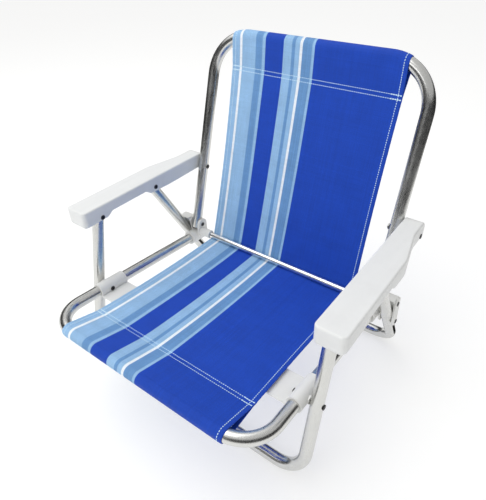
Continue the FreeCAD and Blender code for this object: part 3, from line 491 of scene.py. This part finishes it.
class SlingShape:
    """The cloth's mid surface: rows follow its length from the back's tail to the seat's tail."""

    def __init__(self, sling):
        self.sling = sling
        seat_low, seat_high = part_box("seat_frame_tube")
        back_low, back_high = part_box("back_frame_tube")
        self.front_bar = np.array([seat_low.y + TUBE_RADIUS, seat_high.z - TUBE_RADIUS])
        top_bar = np.array([back_high.y - TUBE_RADIUS, back_high.z - TUBE_RADIUS])
        self.pivot = np.array(middle_of("back_pivot_rivets").yz)
        self.crossbar = np.array(middle_of("rear_crossbar").yz)
        low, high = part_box("rear_crossbar")
        self.crossbar_radius = (high.z - low.z) / 2
        self.seat_along = np.array([math.cos(SEAT_SLOPE), -math.sin(SEAT_SLOPE)])
        self.seat_rise = np.array([math.sin(SEAT_SLOPE), math.cos(SEAT_SLOPE)])
        self.back_length = float(np.linalg.norm(top_bar - self.pivot))
        self.back_along = (top_bar - self.pivot) / self.back_length
        self.back_rise = np.array([-self.back_along[1], self.back_along[0]])

    def on_seat(self, along, rise):
        return self.front_bar + np.outer(along, self.seat_along) + np.outer(rise, self.seat_rise)

    def on_back(self, along, rise):
        return self.pivot + np.outer(along, self.back_along) + np.outer(rise, self.back_rise)

    def column(self, x):
        """Points (y, z) down the cloth at x across the chair, always the same number of them."""
        sling = self.sling
        clear = sling.thickness / 2 + CLOTH_GAP
        loop = TUBE_RADIUS + clear
        aside = abs(x) / (sling.width / 2)
        layer = sling.thickness * LAYER_SPREAD

        def bend(start, radius):
            """How far the bar has curved back at x, and how much a cut there stretches its circle."""
            past = max(0.0, abs(x) - start)
            return radius - math.sqrt(radius ** 2 - past ** 2), radius / math.sqrt(radius ** 2 - past ** 2)

        def pocket(depth, set_back, stretch):
            """Along (towards the bar) and rise, from the tail's end round the bar to the seam."""
            tilt = math.asin(loop / depth)
            turn = np.linspace(-math.pi / 2 - tilt, math.pi / 2 + tilt, LOOP_ROWS)
            loop_along = np.cos(turn) * loop * stretch - set_back
            loop_rise = np.sin(turn) * loop
            tail = np.linspace(-depth - sling.tail, -depth, TAIL_ROWS, endpoint=False)
            below = np.linspace(0, 1, LAYER_ROWS, endpoint=False)
            above = np.linspace(0, 1, LAYER_ROWS + 1)[1:]
            lower_along = -depth + (loop_along[0] + depth) * below
            lower_rise = -layer + (loop_rise[0] + layer) * below
            upper_along = loop_along[-1] + (-depth - loop_along[-1]) * above
            upper_rise = loop_rise[-1] * (1 - above)
            return (np.concatenate([tail, lower_along, loop_along, upper_along]),
                    np.concatenate([np.full(TAIL_ROWS, -layer), lower_rise, loop_rise, upper_rise]))

        along, rise = pocket(sling.back_pocket, *bend(*BACK_BEND))
        top = self.on_back(self.back_length + along, rise)

        wrap = self.crossbar_radius + clear
        rear = self.crossbar - self.back_rise * wrap
        under = self.crossbar - self.seat_rise * wrap
        first = math.atan2(-self.back_rise[1], -self.back_rise[0])
        last = math.atan2(-self.seat_rise[1], -self.seat_rise[0])
        turn = np.linspace(first, last, CREASE_ROWS)
        crease = self.crossbar + wrap * np.stack([np.cos(turn), np.sin(turn)], 1)

        def hang(start, end, sag, away):
            share = np.linspace(0, 1, HANG_ROWS + 2)[1:-1]
            belly = arch(share) * sag * (1 - EDGE_SAG * aside ** 2)
            return start + np.outer(share, end - start) + np.outer(belly, away)

        back = hang(top[-1], rear, sling.back_sag, -self.back_rise)
        along, rise = pocket(sling.seat_pocket, *bend(*SEAT_BEND))
        front = self.on_seat(-along, rise)[::-1]
        seat = hang(under, front[0], sling.seat_sag, -self.seat_rise)
        return np.concatenate([top, back, crease, seat, front])

    def across(self):
        """Places across the cloth, closer together in the hems."""
        half, hem = self.sling.width / 2, self.sling.hem
        edge = [0.0, 0.0003, EDGE_RADIUS, 0.0026, 0.0045, 0.0062]
        edge = np.concatenate([edge, hem + HEM_STEP * np.array([-1.125, -0.5, 0.0, 0.5, 1.25])])
        inner = np.linspace(-half + hem + 0.006, half - hem - 0.006, INNER_COLUMNS)
        return np.concatenate([-half + edge, inner, (half - edge)[::-1]])

    def thicknesses(self, places):
        """Half thickness at each place: nearly doubled hems, a groove in each and rounded edges."""
        inward = self.sling.width / 2 - np.abs(places)
        hem = 1 - np.clip((inward - self.sling.hem) / HEM_STEP + 0.5, 0, 1)
        thick = self.sling.thickness / 2 * (1 + hem * 0.9)
        groove_in, groove_width, groove_depth = HEM_GROOVE
        groove = np.exp(-((inward - groove_in) / groove_width) ** 2) * groove_depth
        rounded = np.sqrt(np.clip(1 - (1 - np.clip(inward / EDGE_RADIUS, 0, 1)) ** 2, 0.02, 1))
        return (thick - groove) * rounded

    def surface(self):
        """Points and unit normals by row and column, then the rows' lengths and the columns' places.

        It also sets the cloth's whole length.
        """
        places = self.across()
        grid = np.stack([self.column(x) for x in places], 1)
        rows, columns, _ = grid.shape
        points = np.empty((rows, columns, 3))
        points[..., 1:] = grid
        middle = grid[:, columns // 2]
        steps = np.concatenate([[0], np.cumsum(np.linalg.norm(np.diff(middle, axis=0), axis=1))])
        self.length = float(steps[-1])
        back_start, seat_end = POCKET_ROWS + 1, rows - POCKET_ROWS - 1
        turn = back_start + HANG_ROWS + CREASE_ROWS // 2
        drawn_in = np.zeros(rows)
        for start, end in ((back_start, turn), (turn, seat_end)):
            drawn_in[start:end] = arch(np.linspace(0, 1, end - start))
        half = self.sling.width / 2
        points[..., 0] = places[None, :] * (1 - drawn_in[:, None] * self.sling.waist / half)
        normals = self.normals(points)
        points += normals * self.ripples(points, steps)[..., None]
        return points, self.normals(points), steps, places

    def normals(self, points):
        down = np.gradient(points, axis=0)
        side = np.gradient(points, axis=1)
        normal = np.cross(side, down)
        return -normal / np.linalg.norm(normal, axis=2, keepdims=True)

    def ripples(self, points, steps):
        """Small puckers along the seams and hems, and the long soft waves of empty cloth."""
        x = points[..., 0]
        length = steps[:, None] + np.zeros_like(x)
        back_seam, seat_seam = steps[POCKET_ROWS], steps[-POCKET_ROWS - 1]

        seam_reach, seam_height = 0.010, 0.00028
        seam_puckers = np.sin(x * 520 + np.sin(x * 170) * 1.7)
        height = np.zeros_like(x)
        for seam in (back_seam, seat_seam):
            height += np.exp(-((length - seam) / seam_reach) ** 2) * seam_height * seam_puckers

        hem_reach, hem_height = 0.011, 0.00022
        hem_puckers = np.sin(length * 430 + np.sin(length * 110) * 2.0)
        inward = self.sling.width / 2 - np.abs(x)
        height += np.exp(-(inward / hem_reach) ** 2) * hem_height * hem_puckers

        fade, long_wave, slant_wave = 0.05, 0.0007, 0.0004
        free = np.clip((length - back_seam) / fade, 0, 1) * np.clip((seat_seam - length) / fade, 0, 1)
        height += free * long_wave * np.sin(x * 21 + 0.6) * np.sin(length * 13 + 0.9)
        height += free * slant_wave * np.sin(x * 58 + length * 9)
        return height


def sling_mesh(shape):
    """The cloth as one closed skin with its own map."""
    points, normals, steps, places = shape.surface()
    rows, columns, _ = points.shape
    half = shape.thicknesses(places)
    upper = points + normals * half[None, :, None]
    lower = points - normals * half[None, :, None]
    vertices = np.concatenate([upper.reshape(-1, 3), lower.reshape(-1, 3)])
    count = rows * columns

    faces = []
    for row in range(rows - 1):
        for column in range(columns - 1):
            corner = row * columns + column
            ring = (corner, corner + 1, corner + columns + 1, corner + columns)
            faces.append(ring[::-1])
            faces.append(tuple(index + count for index in ring))
    for row in range(rows - 1):
        for column, flip in ((0, False), (columns - 1, True)):
            corner = row * columns + column
            ring = (corner, corner + columns, corner + columns + count, corner + count)
            faces.append(ring[::-1] if flip else ring)
    for column in range(columns - 1):
        for row, flip in ((0, True), (rows - 1, False)):
            corner = row * columns + column
            ring = (corner, corner + 1, corner + 1 + count, corner + count)
            faces.append(ring if flip else ring[::-1])

    mesh = bpy.data.meshes.new("sling")
    mesh.from_pydata(vertices.tolist(), [], faces)
    chart = mesh.uv_layers.new(name="Cloth")
    width = shape.sling.width
    share_across = np.tile((places + width / 2) / width, rows)
    share_along = np.repeat(steps / shape.length, columns)
    pairs = np.stack([np.tile(share_across, 2), np.tile(share_along, 2)], 1)
    corners = np.empty(len(mesh.loops), dtype=np.int32)
    mesh.loops.foreach_get("vertex_index", corners)
    chart.data.foreach_set("uv", pairs[corners].astype(np.float32).ravel())
    return mesh


# ---------------------------------------------------------------- operators

def deselect():
    if bpy.context.object and bpy.context.object.mode != "OBJECT":
        bpy.ops.object.mode_set(mode="OBJECT")
    bpy.ops.object.select_all(action="DESELECT")


class CHAIR_OT_shared_effects(bpy.types.Operator):
    """Build the node groups that several finishes share"""

    bl_idname = "chair.shared_effects"
    bl_label = "Shared effects"

    def execute(self, context):
        make_streaks_group()
        make_grain_group()
        make_weave_group()
        return {"FINISHED"}


class CHAIR_OT_tubes(bpy.types.Operator):
    """Give the four bent tubes and the rear cross bar their drawn aluminium"""

    bl_idname = "chair.tubes"
    bl_label = "Tubes"

    def execute(self, context):
        colour = context.scene.chair_finish.aluminium
        bend_reach = 0.03
        for node_name in TUBE_NODES:
            # The lean comes from the box, the rear leg's runs the other way, and the seat's is its slope.
            low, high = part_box(node_name)
            lean = math.atan2(high.z - low.z, high.y - low.y)
            if node_name == "rear_leg_tube":
                lean = math.pi - lean
            if node_name == "seat_frame_tube":
                lean = -SEAT_SLOPE
            name = f"Drawn aluminium {node_name}"
            metal = tube_material(name, colour, side_starts=high.x - bend_reach, slope=lean)
            give_finish([node_name], metal)
        rod = context.scene.chair_finish.rod
        bar = tube_material("Drawn aluminium rod", rod, side_starts=1.0, slope=0.0)
        give_finish(["rear_crossbar"], bar)
        return {"FINISHED"}


class CHAIR_OT_mouldings(bpy.types.Operator):
    """Give the arms, joints and bridge their moulded plastic"""

    bl_idname = "chair.mouldings"
    bl_label = "Mouldings"

    def execute(self, context):
        finish = context.scene.chair_finish
        for nodes, name, colour, roughness, grain_size in (
                (ARM_NODES, "Arm plastic", finish.arm_white, 0.42, 0.0007),
                (JOINT_NODES, "Joint plastic", finish.joint_white, 0.46, 0.0009)):
            give_finish(nodes, moulding_material(name, colour, roughness, grain_size))
        return {"FINISHED"}


class CHAIR_OT_fasteners(bpy.types.Operator):
    """Give the rivets and washers their metal"""

    bl_idname = "chair.fasteners"
    bl_label = "Fasteners"

    def execute(self, context):
        finish = context.scene.chair_finish
        for nodes, name, colour, metallic, roughness in (
                (RIVET_NODES, "Blackened rivet", finish.rivet_dark, 0.85, 0.34),
                (WASHER_NODES, "Bright washer", finish.aluminium, 1.0, 0.28)):
            give_finish(nodes, rivet_material(name, colour, metallic, roughness))
        return {"FINISHED"}


def add_piece(context, name, mesh):
    """An object of this mesh in the scene, with its faces turned outward."""
    piece = bpy.data.objects.new(name, mesh)
    context.scene.collection.objects.link(piece)
    deselect()
    piece.select_set(True)
    context.view_layer.objects.active = piece
    bpy.ops.object.mode_set(mode="EDIT")
    bpy.ops.mesh.select_all(action="SELECT")
    bpy.ops.mesh.normals_make_consistent(inside=False)
    bpy.ops.object.mode_set(mode="OBJECT")
    return piece


class CHAIR_OT_sling(bpy.types.Operator):
    """Make the cloth sling: one sheet from the back's top bar, under the cross bar, to the front bar"""

    bl_idname = "chair.sling"
    bl_label = "Sling"

    def execute(self, context):
        sling = context.scene.chair_sling
        shape = SlingShape(sling)
        cloth = add_piece(context, "sling", sling_mesh(shape))
        bpy.ops.object.shade_smooth_by_angle(angle=math.radians(50))
        cloth.data.materials.append(cloth_material(sling, shape.length))
        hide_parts("seat_sling", "back_sling")
        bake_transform(cloth)
        return {"FINISHED"}


def stitch_pattern(stitch):
    """One stitch, lying along X with its ends drawn down into the cloth: vertices and faces."""
    flatness, end_starts, dip = 0.65, 0.4, 0.35
    deselect()
    bpy.ops.mesh.primitive_uv_sphere_add(segments=6, ring_count=6, radius=0.5, rotation=(0, math.pi / 2, 0))
    pattern = bpy.context.object
    bpy.ops.object.transform_apply(location=True, rotation=True, scale=True)
    bpy.ops.object.mode_set(mode="EDIT")
    bpy.ops.mesh.select_all(action="SELECT")
    bpy.ops.transform.resize(value=(stitch.length, stitch.thread, stitch.thread * flatness))
    bpy.ops.mesh.select_all(action="DESELECT")
    bpy.ops.object.mode_set(mode="OBJECT")
    for vertex in pattern.data.vertices:
        vertex.select = abs(vertex.co.x) > stitch.length * end_starts
    bpy.ops.object.mode_set(mode="EDIT")
    bpy.ops.transform.translate(value=(0, 0, -stitch.thread * dip))
    bpy.ops.object.mode_set(mode="OBJECT")
    vertices = np.array([vertex.co for vertex in pattern.data.vertices])
    faces = [tuple(face.vertices) for face in pattern.data.polygons]
    bpy.data.objects.remove(pattern)
    return vertices, faces


def seam_places(shape, stitch):
    """Where each stitch sits: point, direction and outward normal.

    The skin's face 1 is outside both pockets. Each pocket seam shows there twice: on the cloth
    that carries on, and on the tail that is sewn to it from the other side.
    """
    points, normals, steps, places = shape.surface()
    half = shape.thicknesses(places)
    rows = len(steps)
    found = []

    def sample(length, x):
        """Mid surface point, normal and half thickness between the four nearest grid points."""
        row = np.interp(length, steps, np.arange(rows))
        column = np.interp(x, places, np.arange(len(places)))
        low_row, low_column = int(min(row, rows - 2)), int(min(column, len(places) - 2))
        past_row, past_column = row - low_row, column - low_column
        corners = [
            (0, 0, (1 - past_row) * (1 - past_column)),
            (1, 0, past_row * (1 - past_column)),
            (0, 1, (1 - past_row) * past_column),
            (1, 1, past_row * past_column),
        ]
        point = sum(points[low_row + i, low_column + j] * share for i, j, share in corners)
        normal = sum(normals[low_row + i, low_column + j] * share for i, j, share in corners)
        return point, normal / np.linalg.norm(normal), np.interp(x, places, half)

    def sew(line, faces):
        """A row of stitches through (length, x) places, on the faces given."""
        for (length, x), (next_length, next_x) in zip(line[:-1], line[1:]):
            point, normal, thick = sample((length + next_length) / 2, (x + next_x) / 2)
            before, after = sample(length, x)[0], sample(next_length, next_x)[0]
            way = (after - before) / np.linalg.norm(after - before)
            for face in faces:
                found.append((point + normal * face * thick, way, normal * face))

    half_width = shape.sling.width / 2
    seam_half = half_width - SEAM_END
    across = np.arange(-seam_half, seam_half, stitch.pitch)
    tacks = [np.arange(end, end + stitch.back_tack, stitch.pitch)
             for end in (-seam_half, seam_half - stitch.back_tack)]
    for row, towards_bar in (
            (TAIL_ROWS, 1), (POCKET_ROWS, -1), (rows - POCKET_ROWS - 1, 1), (rows - TAIL_ROWS - 1, -1)):
        for offset in (0.0, stitch.row_gap):
            length = steps[row] + towards_bar * offset
            sew([(length, x) for x in across], (1,))
            for tack in tacks:
                for aside in (-TACK_ASIDE, TACK_ASIDE):
                    sew([(length + aside, x + stitch.pitch * TACK_SHIFT) for x in tack], (1,))
    side = half_width - HEM_ROW
    down = np.arange(steps[0] + HEM_ROW_END, steps[-1] - HEM_ROW_END, stitch.pitch)
    for x in (-side, side):
        sew([(length, x) for length in down], (1, -1))
    return found


class CHAIR_OT_stitching(bpy.types.Operator):
    """Sew the sling: twin rows across both pockets and a single row down each hem"""

    bl_idname = "chair.stitching"
    bl_label = "Stitching"

    def execute(self, context):
        scene = context.scene
        stitch = scene.chair_stitch
        shape = SlingShape(scene.chair_sling)
        pattern, pattern_faces = stitch_pattern(stitch)
        vertices, faces = [], []
        for point, way, normal in seam_places(shape, stitch):
            side = np.cross(normal, way)
            vertices.append(point + pattern @ np.stack([way, side, normal]))
        for index in range(len(vertices)):
            first = index * len(pattern)
            faces.extend(tuple(corner + first for corner in face) for face in pattern_faces)
        mesh = bpy.data.meshes.new("sling_stitching")
        mesh.from_pydata(np.concatenate(vertices).tolist(), [], faces)
        thread = add_piece(context, "sling_stitching", mesh)
        bpy.ops.object.shade_smooth()
        mesh.materials.append(thread_material(stitch.colour))
        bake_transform(thread)
        return {"FINISHED"}


class CHAIR_OT_studio(bpy.types.Operator):
    """Lay the pale floor, light it softly and place the camera"""

    bl_idname = "chair.studio"
    bl_label = "Studio"

    def execute(self, context):
        scene = context.scene
        studio = scene.chair_studio
        deselect()
        bpy.ops.mesh.primitive_plane_add(size=FLOOR_SIZE, location=(0, 0, -FLOOR_GAP))
        floor = context.object
        floor.name = "studio_floor"
        paint, tree, shader = new_material("Studio floor", {
            "Roughness": 0.9, "Specular IOR Level": 0.1, "Emission Color": (1.0, 1.0, 1.0, 1.0),
            "Emission Strength": studio.floor_glow})
        where = object_place(tree)
        shade = swing(tree, noise(tree, where, 1.5), 0.995, 1.0)
        tree.links.new(tinted(tree, studio.floor, shade), shader.inputs["Base Color"])
        floor.data.materials.append(paint)

        self.hang_curtain(studio)
        self.light_world(scene, studio)
        self.add_light("overhead_softbox", studio.key_power,
                       place=(-0.9, -0.3, 2.3), aim=(0, 0, 0.2), size=2.2)
        self.add_light("front_softbox", studio.front_power,
                       place=(-0.7, -2.6, 1.5), aim=(0, 0.1, 0.4), size=1.6)
        self.place_camera(scene)
        scene.view_settings.view_transform = "Standard"
        return {"FINISHED"}

    def hang_curtain(self, studio):
        """A dark ring round the chair that gives the metal its dark lines and shades nothing."""
        deselect()
        bpy.ops.mesh.primitive_cylinder_add(
            vertices=96, radius=CURTAIN_RADIUS, depth=CURTAIN_HEIGHT, end_fill_type="NOTHING",
            location=(0, 0, CURTAIN_MIDDLE))
        curtain = bpy.context.object
        curtain.name = "studio_curtain"
        curtain.rotation_euler.x = CURTAIN_LEAN
        bpy.ops.object.transform_apply(location=True, rotation=True, scale=True)
        cloth, tree, shader = new_material("Studio curtain", {"Roughness": 0.95, "Specular IOR Level": 0.0})
        where = object_place(tree)
        shade = remap(tree, noise(tree, where, 1.1), 0.35, 0.65, 0.4, 1.6)
        tree.links.new(tinted(tree, studio.curtain, shade), shader.inputs["Base Color"])
        curtain.data.materials.append(cloth)
        curtain.visible_camera = False
        curtain.visible_diffuse = False
        curtain.visible_shadow = False

    def light_world(self, scene, studio):
        """White overhead, darker round the horizon, and dimmer on the sitter's left."""
        world = bpy.data.worlds.new("Studio surroundings")
        scene.world = world
        world.use_nodes = True
        tree = world.node_tree
        tree.nodes.clear()
        way = add_node(tree, "ShaderNodeTexCoord").outputs["Generated"]
        height = add_node(tree, "ShaderNodeSeparateXYZ", {0: way}).outputs[2]
        ramp = add_node(tree, "ShaderNodeValToRGB", {0: remap(tree, height, -1.0, 1.0)})
        stops = ramp.color_ramp.elements
        for place, shade in SKY_SHADES:
            stop = stops.new(place)
            stop.color = (shade, shade, shade * 1.01, 1.0)
        stops.remove(stops[-1])
        stops.remove(stops[0])
        aside = add_node(tree, "ShaderNodeSeparateXYZ", {0: way}).outputs[0]
        light = tinted(tree, ramp.outputs[0], remap(tree, aside, -0.9, 0.9, 1.10, 0.72, smooth=True))
        back = add_node(tree, "ShaderNodeBackground", {"Color": light, "Strength": studio.sky})
        end = add_node(tree, "ShaderNodeOutputWorld")
        tree.links.new(back.outputs[0], end.inputs[0])

    def add_light(self, name, power, place, aim, size):
        bpy.ops.object.light_add(type="AREA", location=place)
        light = bpy.context.object
        light.name = name
        light.data.size = size
        light.data.energy = power
        light.rotation_euler = (Vector(aim) - Vector(place)).to_track_quat("-Z", "Y").to_euler()

    def place_camera(self, scene):
        """The camera looks down at the chair from its front and sitter's left."""
        level = math.cos(CAMERA_TILT)
        back = Vector((math.sin(CAMERA_TURN) * level, -math.cos(CAMERA_TURN) * level, math.sin(CAMERA_TILT)))
        right = (-back).cross(Vector((0, 0, 1))).normalized()
        up = right.cross(-back)
        side = right * math.cos(CAMERA_ROLL) + up * math.sin(CAMERA_ROLL)
        head = up * math.cos(CAMERA_ROLL) - right * math.sin(CAMERA_ROLL)
        bpy.ops.object.camera_add()
        camera = bpy.context.object
        camera.name = "studio_camera"
        turned = Matrix((side, head, back)).transposed().to_4x4()
        camera.matrix_world = Matrix.Translation(Vector(CAMERA_TARGET) + back * CAMERA_DISTANCE) @ turned
        camera.data.lens = CAMERA_LENS
        camera.data.sensor_width = CAMERA_SENSOR
        camera.data.shift_x, camera.data.shift_y = CAMERA_SHIFT
        camera.data.clip_start = 0.01
        scene.camera = camera


class CHAIR_PT_looks(bpy.types.Panel):
    """Lists the settings and the steps that build the chair's looks"""

    bl_idname = "CHAIR_PT_looks"
    bl_label = "Sling Chair"
    bl_space_type = "VIEW_3D"
    bl_region_type = "UI"
    bl_category = "Sling Chair"

    def draw(self, context):
        layout = self.layout
        for title, group in SETTINGS.items():
            box = layout.box()
            settings = getattr(context.scene, title)
            for name in group.__annotations__:
                box.prop(settings, name)
        for operator in OPERATORS:
            layout.operator(operator.bl_idname)


SETTINGS = {
    "chair_sling": SlingSettings,
    "chair_stitch": StitchSettings,
    "chair_finish": FinishSettings,
    "chair_studio": StudioSettings,
}
OPERATORS = (
    CHAIR_OT_shared_effects, CHAIR_OT_tubes, CHAIR_OT_mouldings, CHAIR_OT_fasteners,
    CHAIR_OT_sling, CHAIR_OT_stitching, CHAIR_OT_studio,
)


def register():
    for group in SETTINGS.values():
        bpy.utils.register_class(group)
    for title, group in SETTINGS.items():
        setattr(bpy.types.Scene, title, bpy.props.PointerProperty(type=group))
    for operator in (*OPERATORS, CHAIR_PT_looks):
        bpy.utils.register_class(operator)


def unregister():
    for operator in (CHAIR_PT_looks, *reversed(OPERATORS)):
        bpy.utils.unregister_class(operator)
    for title, group in SETTINGS.items():
        delattr(bpy.types.Scene, title)
        bpy.utils.unregister_class(group)


def main():
    register()
    for operator in OPERATORS:
        family, name = operator.bl_idname.split(".")
        getattr(getattr(bpy.ops, family), name)()


if __name__ == "__main__":
    main()
